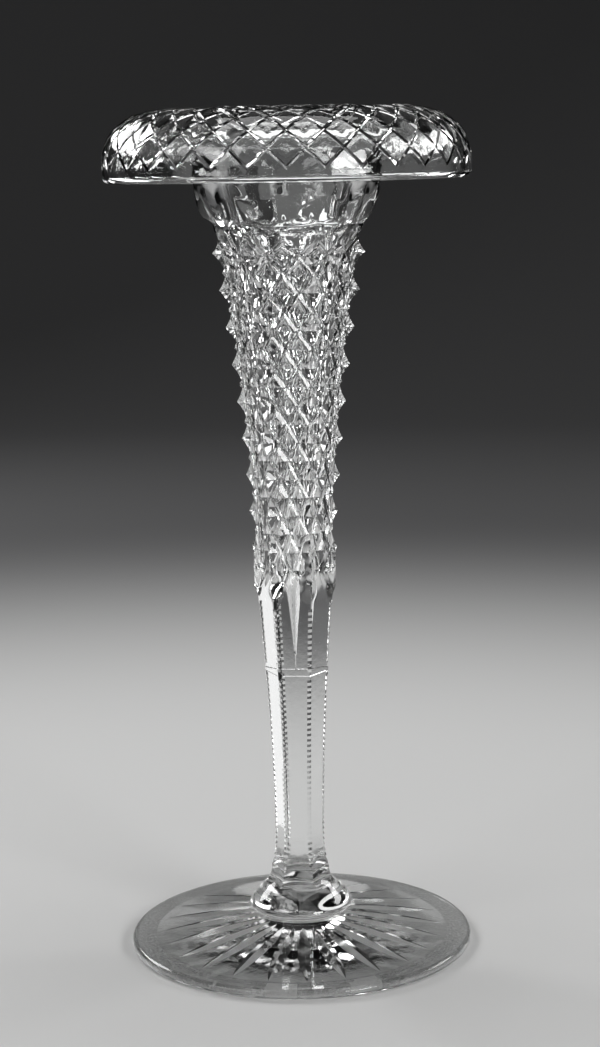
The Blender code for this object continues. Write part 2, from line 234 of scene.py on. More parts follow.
class NodeMaker:
    """Adds nodes to a shader tree and links them."""

    def __init__(self, tree: bpy.types.NodeTree) -> None:
        """Keeps the tree."""
        self.tree = tree

    def add(self, kind: str, **values: object) -> bpy.types.Node:
        """Adds a node.

        Args:
            kind: Type name of the node.
            values: Attributes of the node, by name.

        Returns:
            The new node.
        """
        node = self.tree.nodes.new(kind)
        for name, value in values.items():
            setattr(node, name, value)
        return node

    def link(self, source: bpy.types.NodeSocket, target: bpy.types.NodeSocket) -> None:
        """Links an output to an input."""
        self.tree.links.new(source, target)

    def math(self, operation: str, first: object, second: object) -> bpy.types.NodeSocket:
        """Adds a Math node.

        Args:
            operation: What it does.
            first: A socket or a number.
            second: A socket or a number.

        Returns:
            Its output.
        """
        node = self.add("ShaderNodeMath", operation=operation)
        for socket, value in zip(node.inputs, (first, second)):
            if isinstance(value, bpy.types.NodeSocket):
                self.link(value, socket)
            else:
                socket.default_value = value
        return node.outputs[0]


def set_inputs(node: bpy.types.Node, values: dict[str, object]) -> None:
    """Sets the inputs of a node by name."""
    for name, value in values.items():
        node.inputs[name].default_value = value


def new_material(name: str) -> tuple[bpy.types.Material, bpy.types.Node]:
    """Makes a material.

    Args:
        name: Its name.

    Returns:
        The material and its Principled shader.
    """
    material = bpy.data.materials.new(name)
    material.use_nodes = True
    return material, material.node_tree.nodes["Principled BSDF"]


class EffectGroup:
    """A shader node group with named inputs and one output."""

    def __init__(self, name: str, inputs: dict[str, float], output: str) -> None:
        """Makes an empty group that reads a vector.

        Args:
            name: Name of the group.
            inputs: Number inputs and their values.
            output: Name of its number output.
        """
        self.tree = bpy.data.node_groups.new(name, "ShaderNodeTree")
        self.tree.interface.new_socket(name="Vector", in_out="INPUT", socket_type="NodeSocketVector")
        for label, value in inputs.items():
            socket = self.tree.interface.new_socket(name=label, in_out="INPUT", socket_type="NodeSocketFloat")
            socket.default_value = value
        self.tree.interface.new_socket(name=output, in_out="OUTPUT", socket_type="NodeSocketFloat")
        self.maker = NodeMaker(self.tree)
        self.inputs = self.maker.add("NodeGroupInput").outputs
        self.result = self.maker.add("NodeGroupOutput").inputs[output]

    def noise(self, scale: bpy.types.NodeSocket, detail: float) -> bpy.types.NodeSocket:
        """Adds a noise over the group's vector.

        Args:
            scale: The socket that gives its scale.
            detail: Its finer layers.

        Returns:
            The output of its value.
        """
        node = self.maker.add("ShaderNodeTexNoise")
        set_inputs(node, {"Detail": detail})
        self.maker.link(self.inputs["Vector"], node.inputs["Vector"])
        self.maker.link(scale, node.inputs["Scale"])
        return node.outputs["Fac"]

    def finer(self, times: float) -> bpy.types.NodeSocket:
        """The group's scale, a number of times finer."""
        return self.maker.math("MULTIPLY", self.inputs["Scale"], times)

    def put_between(self, mask: bpy.types.NodeSocket, low: str, high: str) -> None:
        """Puts out a mask, spread between two of the group's inputs.

        Args:
            mask: A value from 0 to 1.
            low: Name of the input that is put out where the mask is 0.
            high: Name of the input that is put out where the mask is 1.
        """
        mix = self.maker.add("ShaderNodeMapRange")
        self.maker.link(mask, mix.inputs["Value"])
        self.maker.link(self.inputs[low], mix.inputs["To Min"])
        self.maker.link(self.inputs[high], mix.inputs["To Max"])
        self.maker.link(mix.outputs["Result"], self.result)


def make_smudge_group() -> EffectGroup:
    """Makes the roughness of handled glass: clear, with soft smudges and a fine bloom inside them.

    Returns:
        The group.
    """
    group = EffectGroup("handled_smudges", {"Scale": 30.0, "Clear": 0.0, "Smudged": 0.03}, "Roughness")
    maker = group.maker
    broad = maker.add("ShaderNodeMapRange", interpolation_type="SMOOTHSTEP")
    set_inputs(broad, {"From Min": 0.5, "From Max": 0.72})
    maker.link(group.noise(group.inputs["Scale"], detail=2.0), broad.inputs["Value"])
    bloom = group.noise(group.finer(times=9.0), detail=4.0)
    group.put_between(maker.math("MULTIPLY", broad.outputs["Result"], bloom), "Clear", "Smudged")
    return group


def make_ripple_group() -> EffectGroup:
    """Makes the height of the shallow ripple that blowing or polishing leaves in glass.

    Returns:
        The group.
    """
    group = EffectGroup("glass_ripple", {"Scale": 80.0, "Fine": 0.3}, "Height")
    maker = group.maker
    broad = group.noise(group.inputs["Scale"], detail=1.0)
    fine = group.noise(group.finer(times=4.0), detail=1.0)
    height = maker.math("ADD", broad, maker.math("MULTIPLY", fine, group.inputs["Fine"]))
    maker.link(height, group.result)
    return group


def make_scuff_group() -> EffectGroup:
    """Makes the roughness of a resting face: ground dull, with scuffs of uneven length.

    Returns:
        The group.
    """
    group = EffectGroup("resting_scuffs", {"Scale": 400.0, "Dull": 0.2, "Scuffed": 0.5}, "Roughness")
    maker = group.maker
    voronoi = maker.add("ShaderNodeTexVoronoi", feature="DISTANCE_TO_EDGE")
    maker.link(group.inputs["Vector"], voronoi.inputs["Vector"])
    maker.link(group.inputs["Scale"], voronoi.inputs["Scale"])
    cloud = group.noise(group.inputs["Scale"], detail=4.0)
    group.put_between(maker.math("SUBTRACT", cloud, voronoi.outputs["Distance"]), "Dull", "Scuffed")
    return group


def make_tool_ring_group() -> EffectGroup:
    """Makes the height of the uneven rings that a shaping tool leaves inside a spun bowl.

    Returns:
        The group.
    """
    group = EffectGroup("tool_rings", {"Scale": 75.0, "Uneven": 2.0}, "Height")
    maker = group.maker
    wave = maker.add("ShaderNodeTexWave", wave_type="BANDS", bands_direction="Z", wave_profile="SIN")
    set_inputs(wave, {"Detail": 1.0})
    maker.link(group.inputs["Vector"], wave.inputs["Vector"])
    maker.link(group.inputs["Scale"], wave.inputs["Scale"])
    maker.link(group.inputs["Uneven"], wave.inputs["Distortion"])
    maker.link(wave.outputs["Fac"], group.result)
    return group


@dataclass(frozen=True)
class Crystal:
    """Clear, colourless lead glass with one polish."""

    name: str
    roughness: EffectGroup
    roughness_values: dict[str, float]
    ripple: EffectGroup
    ripple_values: dict[str, float]
    ripple_depth: float
    colour: Colour = (0.985, 0.99, 0.988, 1.0)
    ior: float = 1.545

    def make(self) -> bpy.types.Material:
        """Makes the material.

        Returns:
            The material, with its polish and ripple from node groups.
        """
        material, shader = new_material(self.name)
        maker = NodeMaker(material.node_tree)
        set_inputs(
            shader,
            {"Base Color": self.colour, "Metallic": 0.0, "IOR": self.ior, "Transmission Weight": 1.0},
        )
        place = maker.add("ShaderNodeTexCoord").outputs["Object"]
        polish = self.effect(maker, self.roughness, self.roughness_values, place)
        maker.link(polish, shader.inputs["Roughness"])
        bump = maker.add("ShaderNodeBump")
        set_inputs(bump, {"Strength": 1.0, "Distance": self.ripple_depth})
        maker.link(self.effect(maker, self.ripple, self.ripple_values, place), bump.inputs["Height"])
        maker.link(bump.outputs["Normal"], shader.inputs["Normal"])
        return material

    @staticmethod
    def effect(
        maker: NodeMaker, group: EffectGroup, values: dict[str, float], place: bpy.types.NodeSocket
    ) -> bpy.types.NodeSocket:
        """Places a node group.

        Args:
            maker: Maker of the material's tree.
            group: The group to place.
            values: Its number inputs.
            place: The coordinates it reads.

        Returns:
            The group's output.
        """
        node = maker.add("ShaderNodeGroup", node_tree=group.tree)
        maker.link(place, node.inputs["Vector"])
        set_inputs(node, values)
        return node.outputs[0]


@dataclass(frozen=True)
class FusedSeam:
    """The inside of a fused seam, where one gather of glass runs into the next and nothing shows."""

    name: str = "fused_seam"

    def make(self) -> bpy.types.Material:
        """Makes the material.

        Returns:
            A material that light goes straight through.
        """
        material, shader = new_material(self.name)
        set_inputs(shader, {"Alpha": 0.0, "Roughness": 0.0})
        return material


@dataclass
class Panels:
    """The six flat panels of the stem, with finely notched edges, above and below the seam."""

    base: float
    head: float
    waist_radius: float = 0.009
    waist_rise: float = 0.012
    base_radius: float = 0.0101
    base_flare: float = 2.0
    head_radius: float = 0.0137
    flare: float = 1.65
    notch_pitch: float = 0.002
    notch_depth: float = 0.00045
    notch_reach: float = 0.0009
    seam_groove: float = 0.00016

    def radius(self, height: float) -> float:
        """Corner radius at a height.

        Args:
            height: Height above the table.

        Returns:
            The radius, which spreads below the waist and flares above it.
        """
        waist = self.base + self.waist_rise
        if height < waist:
            share = (waist - height) / self.waist_rise
            return self.waist_radius + (self.base_radius - self.waist_radius) * share**self.base_flare
        share = (height - waist) / (self.head - waist)
        return self.waist_radius + (self.head_radius - self.waist_radius) * share**self.flare

    def point(self, row: Row, column: int, per_side: int) -> Vector:
        """A point of a row of the panels.

        Args:
            row: Height, depth of the notch at the corners, and how far the row is drawn in.
            column: Column about the axis, the first of each side on its corner.
            per_side: Columns to a side.

        Returns:
            The point.
        """
        height, notch, drawn = row
        radius = self.radius(height) - drawn
        side = column // per_side
        if column % per_side == 0:
            return polar(radius - notch, FULL_TURN * side / SIDES, height)
        corner = polar(radius, FULL_TURN * side / SIDES, height)
        across = polar(radius, FULL_TURN * (side + 1) / SIDES, height) - corner
        reach = self.notch_reach / across.length
        share = reach + (1 - 2 * reach) * (column % per_side - 1) / (per_side - 2)
        return corner + across * share

    def notched_rows(self, start: float, end: float) -> list[Row]:
        """Rows of a run of notches.

        Args:
            start: Height of the lowest notch's lower lip.
            end: Height of the highest notch's upper lip.

        Returns:
            A row for every lip and every root of a notch.
        """
        count = max(1, round((end - start) / self.notch_pitch))
        heights = np.linspace(start, end, 2 * count + 1)
        return [(float(height), self.notch_depth * (k % 2), 0.0) for k, height in enumerate(heights)]

    def seam_rows(self, height: float, inward: float) -> list[Row]:
        """Rows at a seam: drawn in to a hairline on the seam, and full a little away from it."""
        return [(height, 0.0, self.seam_groove), (height + inward * self.seam_groove, 0.0, 0.0)]


@dataclass
class Stem:
    """The solid lower stem."""

    panels: Panels
    top: float
    end_margin: float = 0.0015
    per_side: int = 4

    def build(self, finishes: Finishes) -> bpy.types.Object:
        """Builds the stem between its two seams.

        Args:
            finishes: The material of each kind of surface.

        Returns:
            The stem.
        """
        bm = bmesh.new()
        panels = self.panels
        rows = panels.seam_rows(panels.base, 1.0)
        rows += panels.notched_rows(panels.base + self.end_margin, self.top - self.end_margin)
        rows += panels.seam_rows(self.top, -1.0)[::-1]
        net = Net(bm, len(rows), self.per_side * SIDES, Surface.CUT)
        net.place(lambda row, column: panels.point(rows[row], column, self.per_side))
        close_end(bm, net.row(0), Surface.SEAM)
        close_end(bm, net.row(-1), Surface.SEAM)
        return finish_piece("stem", bm, finishes)


@dataclass
class Collar:
    """The bell-shaped collar between the stem and the foot."""

    base: float
    top: float
    top_radius: float = 0.0101
    ledge: float = 0.0003
    radius: float = 0.0186
    bead_radius: float = 0.0016
    flare: float = 3.0
    columns: int = 96
    bead_steps: int = 12
    flare_steps: int = 36

    def rows(self) -> list[Row]:
        """Works out the collar's rows, from the foot to the stem.

        Returns:
            Radius, height and how six-sided each row is.
        """
        bead_height = self.base + self.bead_radius
        bead_centre = self.radius - self.bead_radius
        rows = []
        for angle in np.linspace(-QUARTER_TURN, 0.0, self.bead_steps)[:-1]:
            radius = bead_centre + self.bead_radius * math.cos(angle)
            rows.append((radius, bead_height + self.bead_radius * math.sin(angle), 0.0))
        neck = self.top_radius + self.ledge
        for share in np.linspace(1.0, 0.0, self.flare_steps):
            spread = math.sin(QUARTER_TURN * share) ** self.flare
            height = self.top - (self.top - bead_height) * share
            rows.append((neck + (self.radius - neck) * spread, height, max(0.0, 1 - 2 * share)))
        rows.append((neck - self.ledge, self.top, 1.0))
        return rows

    @staticmethod
    def point(row: Row, angle: float) -> Vector:
        """A point of a row at an angle."""
        radius, height, sixness = row
        return polar(radius * six_sided(angle, sixness), angle, height)

    def build(self, finishes: Finishes) -> bpy.types.Object:
        """Builds the collar from its bead on the foot up to the six-sided ledge under the stem.

        Args:
            finishes: The material of each kind of surface.

        Returns:
            The collar.
        """
        bm = bmesh.new()
        rows = self.rows()
        net = Net(bm, len(rows), self.columns, Surface.BLOWN)
        net.place(lambda row, column: self.point(rows[row], net.angle(column)))
        close_end(bm, net.row(0), Surface.SEAM)
        close_end(bm, net.row(-1), Surface.SEAM)
        return finish_piece("collar", bm, finishes)


@dataclass
class Foot:
    """The round foot, with a star cut in its hollow underside."""

    top: float
    radius: float = 0.0619
    edge_thickness: float = 0.0036
    dishing: float = 1.3
    seat_radius: float = 0.0196
    joint_radius: float = 0.017
    rest_width: float = 0.0075
    recess: float = 0.002
    rest_rows: int = 6
    rays: int = 24
    ray_columns: int = 6
    keel_column: int = 3
    star_centre: float = 0.012
    star_margin: float = 0.0015
    ray_width: float = 0.0052
    ray_depth: float = 0.0019
    ray_fullness: float = 0.75
    flat_normal: float = 0.95
    ray_steps: int = 20
    edge_steps: int = 20
    dish_steps: int = 40

    def underside(self, radius: float) -> float:
        """Height of the hollow underside at a radius, before the star is cut."""
        return self.recess * (1 - (radius / self.rest_inner) ** 2)

    @property
    def edge_centre(self) -> float:
        """Radius of the centre of the rounded edge."""
        return self.radius - self.edge_thickness / 2

    @property
    def rest_inner(self) -> float:
        """Inner radius of the resting ring."""
        return self.edge_centre - self.rest_width

    @property
    def star_outer(self) -> float:
        """Radius of the rays' outer points."""
        return self.rest_inner - self.star_margin

    def star_point(self, travel: float, column: int) -> Vector:
        """A point of the star.

        Args:
            travel: Share of the way along a ray, 0 at its inner point and 1 at its outer point.
            column: Column of the star's net. One of a ray's columns runs along its keel.

        Returns:
            The point.
        """
        radius = self.star_centre + (self.star_outer - self.star_centre) * travel
        share = max(0.0, math.sin(HALF_TURN * travel)) ** self.ray_fullness
        pitch = FULL_TURN / self.rays
        lip = share * self.ray_width / 2 / radius
        ray, ray_column = divmod(column, self.ray_columns)
        middle = (ray + UNIT_HALF) * pitch
        gap = pitch / 2 - lip
        offset = (-pitch / 2, -pitch / 2 + gap / 2, -lip, 0.0, lip, lip + gap / 2)[ray_column]
        depth = share * self.ray_depth if ray_column == self.keel_column else 0.0
        return polar(radius, middle + offset, self.underside(radius) + depth)

    def skin(self) -> Profile:
        """Works out the foot's upper skin.

        Returns:
            Radius and height from the rounded edge's foot, over the dished top, to the collar's seat.
        """
        half = self.edge_thickness / 2
        profile = []
        for angle in np.linspace(-QUARTER_TURN, QUARTER_TURN, self.edge_steps):
            profile.append((self.edge_centre + half * math.cos(angle), half + half * math.sin(angle)))
        for share in np.linspace(0.0, 1.0, self.dish_steps)[1:]:
            radius = self.edge_centre + (self.seat_radius - self.edge_centre) * share
            rise = (self.top - self.edge_thickness) * share**self.dishing
            profile.append((float(radius), float(self.edge_thickness + rise)))
        profile.append((self.joint_radius, self.top))
        return profile

    def build(self, finishes: Finishes) -> bpy.types.Object:
        """Builds the foot from the star outwards and over the edge to the collar's seat.

        Args:
            finishes: The material of each kind of surface.

        Returns:
            The foot.
        """
        bm = bmesh.new()
        columns = self.ray_columns * self.rays
        star = Net(bm, self.ray_steps + 1, columns, Surface.CUT)
        star.place(lambda row, column: self.star_point(row / self.ray_steps, column))
        for face in star.faces:
            face.normal_update()
            if abs(face.normal.z) < self.flat_normal:
                face.material_index = Surface.STAR.value
        margin = Net(bm, 2, columns, Surface.CUT)
        margin.place_turned([(self.star_outer, self.underside(self.star_outer)), (self.rest_inner, 0.0)])
        for column in range(columns):
            margin.verts[0, column].co = star.verts[self.ray_steps, column].co
        rest = Net(bm, self.rest_rows, columns, Surface.WORN)
        rest_radii = np.linspace(self.rest_inner, self.edge_centre, self.rest_rows)
        rest.place_turned([(float(radius), 0.0) for radius in rest_radii])
        skin = self.skin()
        over = Net(bm, len(skin), columns, Surface.BLOWN)
        over.place_turned(skin)
        close_end(bm, over.row(-1), Surface.SEAM)
        bmesh.ops.remove_doubles(bm, verts=bm.verts, dist=WELD)
        inner = [edge for edge in bm.edges if edge.is_boundary]
        filled = bmesh.ops.contextual_create(bm, geom=inner)
        for face in filled["faces"]:
            face.material_index = Surface.CUT.value
        return finish_piece("foot", bm, finishes)


@dataclass
class RimCurve:
    """The outer face of the turned-over rim in section, read by the length run along it."""

    crest: float
    throat_radius: float
    throat_height: float
    crest_radius: float = 0.039
    rim_radius: float = 0.0637
    shoulder_drop: float = 0.0208
    squareness: float = 2.5
    upright: float = 0.0014
    bell: float = 0.6
    steps: int = 400
    upright_steps: int = 20
    slope_step: float = 0.0004
    points: np.ndarray = field(init=False)
    runs: np.ndarray = field(init=False)

    def __post_init__(self) -> None:
        """Works out the section: an upright, a squarish shoulder, the crest and the bell of the throat."""
        quarter = np.linspace(0.0, QUARTER_TURN, self.steps)
        power = 2 / self.squareness
        reach = np.clip(np.cos(quarter), 0, 1) ** power
        shoulder_height = self.crest - self.shoulder_drop
        shoulder = np.column_stack(
            (
                self.crest_radius + (self.rim_radius - self.crest_radius) * reach,
                shoulder_height + self.shoulder_drop * np.sin(quarter) ** power,
            )
        )
        drop = np.linspace(0.0, 1.0, self.steps)[1:] ** 2
        throat = np.column_stack(
            (
                self.throat_radius + (self.crest_radius - self.throat_radius) * (1 - drop**self.bell),
                self.crest - (self.crest - self.throat_height) * drop,
            )
        )
        rise = np.linspace(shoulder_height - self.upright, shoulder_height, self.upright_steps)[:-1]
        start = np.column_stack((np.full(len(rise), self.rim_radius), rise))
        self.points = np.vstack((start, shoulder, throat))
        lengths = np.linalg.norm(np.diff(self.points, axis=0), axis=1)
        self.runs = np.concatenate(([0.0], np.cumsum(lengths)))

    def at(self, run: float, sunk: float = 0.0) -> tuple[float, float]:
        """A place at or below the face.

        Args:
            run: Length run along the face.
            sunk: How far the place lies below the face, along its normal.

        Returns:
            Radius and height.
        """
        before = self.on_face(run - self.slope_step)
        after = self.on_face(run + self.slope_step)
        size = math.hypot(after[0] - before[0], after[1] - before[1])
        radius, height = self.on_face(run)
        return (
            radius - sunk * (after[1] - before[1]) / size,
            height + sunk * (after[0] - before[0]) / size,
        )

    def on_face(self, run: float) -> tuple[float, float]:
        """Radius and height on the face at a run."""
        radii, heights = self.points.T
        return float(np.interp(run, self.runs, radii)), float(np.interp(run, self.runs, heights))

    def nearest_run(self, radius: float, height: float) -> float:
        """The run of the face's point that is nearest to a place.

        Args:
            radius: Radius of the place.
            height: Height of the place.

        Returns:
            The run.
        """
        away = (self.points[:, 0] - radius) ** 2 + (self.points[:, 1] - height) ** 2
        k = int(np.argmin(away))
        before = max(0, k - 1)
        after = min(len(self.runs) - 1, k + 1)
        along = self.points[after] - self.points[before]
        off = np.array((radius, height)) - self.points[k]
        return float(self.runs[k] + off @ along / np.linalg.norm(along))


@dataclass
class Rim:
    """The net of V cuts on the turned-over rim, which leaves flat diamonds between them."""

    curve: RimCurve
    wall: float = 0.0046
    plain_band: float = 0.0048
    diamonds: int = 32
    rows: int = 8
    steepness: float = 0.97
    cut_half_width: float = 0.00065
    cut_depth: float = 0.00055
    pillow: float = 0.0004
    fine_cuts: int = 2
    start_run: float = 0.0003
    end_margin: float = 0.0025

    def level_runs(self) -> list[float]:
        """Works out where the cuts cross.

        Returns:
            Runs of the levels of the crossings, spaced so that the cuts keep their slope.
        """
        runs = [self.plain_band - self.wall / 2]
        for _ in range(self.rows):
            radius, _height = self.curve.on_face(runs[-1])
            runs.append(runs[-1] + self.steepness * radius * HALF_TURN / self.diamonds)
        return runs

    @property
    def end_run(self) -> float:
        """The run where the plain throat begins."""
        return self.level_runs()[-1] + self.end_margin

    def build(self, bm: bmesh.types.BMesh) -> None:
        """Cuts the net: a rolled grid, joined along the cuts, inset to their lips and bent to the curve.

        Args:
            bm: The empty mesh that takes the net.
        """
        columns = 2 * self.diamonds
        runs = [self.start_run] + self.level_runs() + [self.end_run]
        grid = Net(bm, len(runs), columns, Surface.CUT)
        grid.place_turned([self.curve.on_face(run) for run in runs])
        cut_rows = range(1, self.rows + 2)
        crossings = [v for (row, c), v in grid.verts.items() if row in cut_rows and (row + c) % 2 == 0]
        middles = [v for (row, c), v in grid.verts.items() if row in cut_rows[1:-1] and (row + c) % 2]
        bmesh.ops.connect_verts(bm, verts=crossings)
        bmesh.ops.dissolve_verts(bm, verts=middles)
        bmesh.ops.recalc_face_normals(bm, faces=bm.faces)
        roots = {self.key(vert) for vert in crossings}
        on_cuts = set(crossings)
        diamonds = [f for f in bm.faces if len(f.verts) == 4 and on_cuts.issuperset(f.verts)]
        plain = [f for f in bm.faces if len(f.verts) != 4 or not on_cuts.issuperset(f.verts)]
        lips = {"thickness": self.cut_half_width, "depth": 0.0, "use_even_offset": True}
        bmesh.ops.inset_individual(bm, faces=diamonds, **lips)
        bmesh.ops.inset_region(bm, faces=plain, use_boundary=False, **lips)
        sunk = bm.verts.layers.float.new("sunk")
        for vert in bm.verts:
            vert[sunk] = 1.0 if self.key(vert) in roots else 0.0
        bmesh.ops.subdivide_edges(bm, edges=bm.edges, cuts=self.fine_cuts, use_grid_fill=True)
        for vert in bm.verts:
            self.bend(vert, vert[sunk])
        bm.verts.layers.float.remove(sunk)

    @staticmethod
    def key(vert: bmesh.types.BMVert) -> tuple[float, ...]:
        """A vertex's place, rounded so that it can be looked up."""
        return tuple(round(x, KEY_DIGITS) for x in vert.co)

    def bend(self, vert: bmesh.types.BMVert, share: float) -> None:
        """Moves a vertex to the rim's curve.

        Args:
            vert: The vertex.
            share: How far down the cut it lies, 0 at the lips and 1 at the root.
        """
        run = self.curve.nearest_run(math.hypot(vert.co.x, vert.co.y), vert.co.z)
        angle = turn_of(vert)
        if vert.is_boundary:
            run = self.start_run if run < (self.start_run + self.end_run) / 2 else self.end_run
            angle = FULL_TURN * round(angle * FINE_COLUMNS / FULL_TURN) / FINE_COLUMNS
        sunk = share * self.cut_depth - (1 - share) * self.pillow * self.pillow_share(run, angle)
        radius, height = self.curve.at(run, sunk)
        vert.co = polar(radius, angle, height)

    def pillow_share(self, run: float, angle: float) -> float:
        """Share of the diamonds' soft crown at a place.

        Args:
            run: Length run along the rim's curve.
            angle: Angle about the axis.

        Returns:
            0 along the cuts and outside the net, 1 in the middle of a diamond.
        """
        levels = self.level_runs()
        level = float(np.interp(run, levels, range(len(levels))))
        column = angle * 2 * self.diamonds / FULL_TURN
        rising = (level - column + 1) / 2
        falling = (level + column + 1) / 2
        middle = math.floor(rising) + math.floor(falling)
        if not 1 <= middle <= self.rows - 1:
            return 0.0
        across = rising % 1
        along = falling % 1
        return 4 * across * (1 - across) * 4 * along * (1 - along)


@dataclass
class Bowl:
    """The blown bowl: the drawn upper stem, the diamond-cut body, the neck, the rim and the hollow."""

    base: float
    panels: Panels
    columns: int = 24
    levels: int = 20
    corner_level: int = 2
    row_rise: float = 0.0065
    fine_steps: int = 8
    head_radius: float = 0.0268
    foot_radius: float = 0.0153
    flare: float = 1.55
    sixness: float = 0.8
    cut_depth_head: float = 0.0036
    cut_depth_foot: float = 0.0022
    cut_hollowness: float = 0.62
    cut_start: float = -0.3
    cut_run_in: float = 1.2
    lower_lip: float = 0.5
    ridge_head: float = 1.1
    knuckle_radius: float = 0.0145
    knuckle_start: float = -0.75
    knuckle_levels: float = 0.65
    bulge_start: float = 0.5
    bulge_levels: float = 1.1
    waist_radius: float = 0.0262
    shoulder_start: float = 19.4
    shoulder_levels: float = 0.85
    scoop_depth: float = 0.0017
    scoop_levels: float = 2.1
    scoop_rise: float = 0.8
    scoop_lip: float = 0.00015
    wall: float = 0.0035
    bore_foot_radius: float = 0.003
    bore_blend: float = 8.0
    ring_levels: tuple[float, float] = (6.0, 16.5)
    bore_end: tuple[tuple[float, float], ...] = (
        (0.0256, 0.0021),
        (0.0176, 0.00125),
        (0.0116, 0.00075),
        (0.0081, 0.00045),
        (0.0069, 0.0005),
        (0.0062, 0.00022),
        (0.0012, 0.00016),
        (0.0009, 0.0),
    )
    neck_foot_radius: float = 0.031
    neck_head_radius: float = 0.0326
    neck_height: float = 0.0106
    crest_rise: float = 0.0362
    notch_run: float = 0.0245
    notch_margin: float = 0.0015
    roof_steps: int = 18
    shoulder_steps: int = 30
    edge_steps: int = 18
    throat_steps: int = 30
    bore_steps: int = 46
    bore_end_steps: int = 4

    @property
    def body_top(self) -> float:
        """Height of the body's highest level."""
        return self.height(self.levels)

    @property
    def last_points(self) -> int:
        """The highest level that has diamonds' points."""
        return self.levels - 1

    @property
    def throat_level(self) -> int:
        """The level where the bell of the throat meets the bore."""
        return self.levels - 2

    def height(self, level: float) -> float:
        """Height of a level of the body's net."""
        return self.panels.head + level * self.row_rise

    def taper(self, level: float) -> float:
        """Share of the way up the body's flare, 0 at the lowest corner points and 1 at the highest."""
        return min(1.0, max(0.0, (level - self.corner_level) / (self.levels - 2 * self.corner_level)))

    def level_sixness(self, level: float) -> float:
        """How six-sided the body is at a level.

        Args:
            level: Level of the net.

        Returns:
            1 for a hexagon at the panels, less above them, and 0 for a circle at the neck.
        """
        if level < 1:
            return 1.0 + (self.sixness - 1.0) * max(0.0, level)
        return self.sixness * min(1.0, max(0.0, (self.levels - level) / 2))

    def cut_depth(self, level: float) -> float:
        """Depth of the cuts below the points at a level.

        Args:
            level: Level of the net.

        Returns:
            The depth, which runs in from the panels and is less in the scoops at the neck.
        """
        depth = self.cut_depth_foot + (self.cut_depth_head - self.cut_depth_foot) * self.taper(level)
        depth += (self.scoop_depth - depth) * eased(level - self.throat_level)
        return depth * eased((level - self.cut_start) / self.cut_run_in)

    def panel_head(self, level: float) -> Row:
        """How the heads of the panels pass into the body at a level.

        Args:
            level: Level of the net.

        Returns:
            Corner radius of the panels, share of the knuckles and share of the body's bulge.
        """
        panel = self.panels.radius(self.height(min(level, 0.0)))
        knuckle = eased((level - self.knuckle_start) / self.knuckle_levels)
        bulge = eased((level - self.bulge_start) / self.bulge_levels)
        return panel, knuckle, bulge

    def point_radius(self, level: float) -> float:
        """Radius of the uncut glass on a corner of the body at a level.

        Args:
            level: Level of the net.

        Returns:
            The radius, from the panels over the knuckles and the body to the neck.
        """
        panel, knuckle, bulge = self.panel_head(level)
        radius = panel + (self.knuckle_radius - panel) * knuckle
        radius += (self.foot_radius - self.knuckle_radius) * bulge
        radius += (self.head_radius - self.foot_radius) * self.taper(level) ** self.flare
        radius += (self.waist_radius - self.head_radius) * eased(level - self.throat_level)
        neck_share = (level - self.levels) * self.row_rise / self.neck_height
        neck = self.neck_foot_radius + (self.neck_head_radius - self.neck_foot_radius) * neck_share
        shoulder = eased((level - self.shoulder_start) / self.shoulder_levels)
        return radius + (neck - radius) * shoulder

    def bore_radius(self, level: float) -> float:
        """Radius of the bore at a level.

        Args:
            level: Level of the net.

        Returns:
            The radius that leaves a wall inside the cuts' roots, or a straight taper's where that is less.
        """
        flat = six_sided(HALF_TURN / SIDES, self.level_sixness(level))
        walled = self.point_radius(level) * flat - self.cut_depth(level) - self.wall
        if level == self.throat_level:
            return walled
        straight = self.bore_radius(self.throat_level) - self.bore_foot_radius
        straight = self.bore_foot_radius + straight * level / self.throat_level
        return (walled**-self.bore_blend + straight**-self.bore_blend) ** (-1 / self.bore_blend)

    def from_point(self, level: float, column: float) -> float:
        """How far a place lies from the nearest diamond's point.

        Args:
            level: Level of the net.
            column: Column of the net.

        Returns:
            The distance in steps of the net, which is 1 along the roots of the cuts.
        """
        nearest = 2.0 * self.columns
        for near_level in (math.floor(level), math.floor(level) + 1):
            near_level = max(0, min(near_level, self.last_points))
            for near_column in (math.floor(column), math.floor(column) + 1):
                if (near_level + near_column) % 2 == 0:
                    nearest = min(nearest, abs(level - near_level) + abs(column - near_column))
        return nearest

    def hollowed(self, away: float) -> float:
        """Share of a cut's depth on its hollow side, by the distance from the point or ridge above it."""
        return (1 - self.cut_hollowness) * away + self.cut_hollowness * (1 - (1 - away) ** 2)

    def cut_share(self, level: float, column: float) -> float:
        """Share of the cuts' depth at a place among the diamonds.

        Args:
            level: Level of the net.
            column: Column of the net.

        Returns:
            0 on the points and on plain glass, 1 at the roots of the cuts.
        """
        away = self.from_point(level, column)
        share = self.hollowed(away) if away < 1 else max(0.0, 1 - (away - 1) / self.lower_lip)
        uncut = min(1.0, max(0.0, (self.corner_level - level) / self.ridge_head)) * self.on_corner(column)
        return share * (1 - uncut)

    def on_corner(self, column: float) -> float:
        """How near a column lies to a corner of the stem's section.

        Args:
            column: Column of the net.

        Returns:
            1 on a corner, falling to 0 on the panels between the corners.
        """
        per_side = self.columns // SIDES
        from_corner = abs((column + per_side / 2) % per_side - per_side / 2)
        return max(0.0, 1 - from_corner / self.ridge_head)

    def knuckle_rise(self, level: float) -> float:
        """Rise of the knuckles on the corners above the panels between them at a level."""
        panel, knuckle, bulge = self.panel_head(level)
        return (self.knuckle_radius - panel) * knuckle * (1 - bulge)

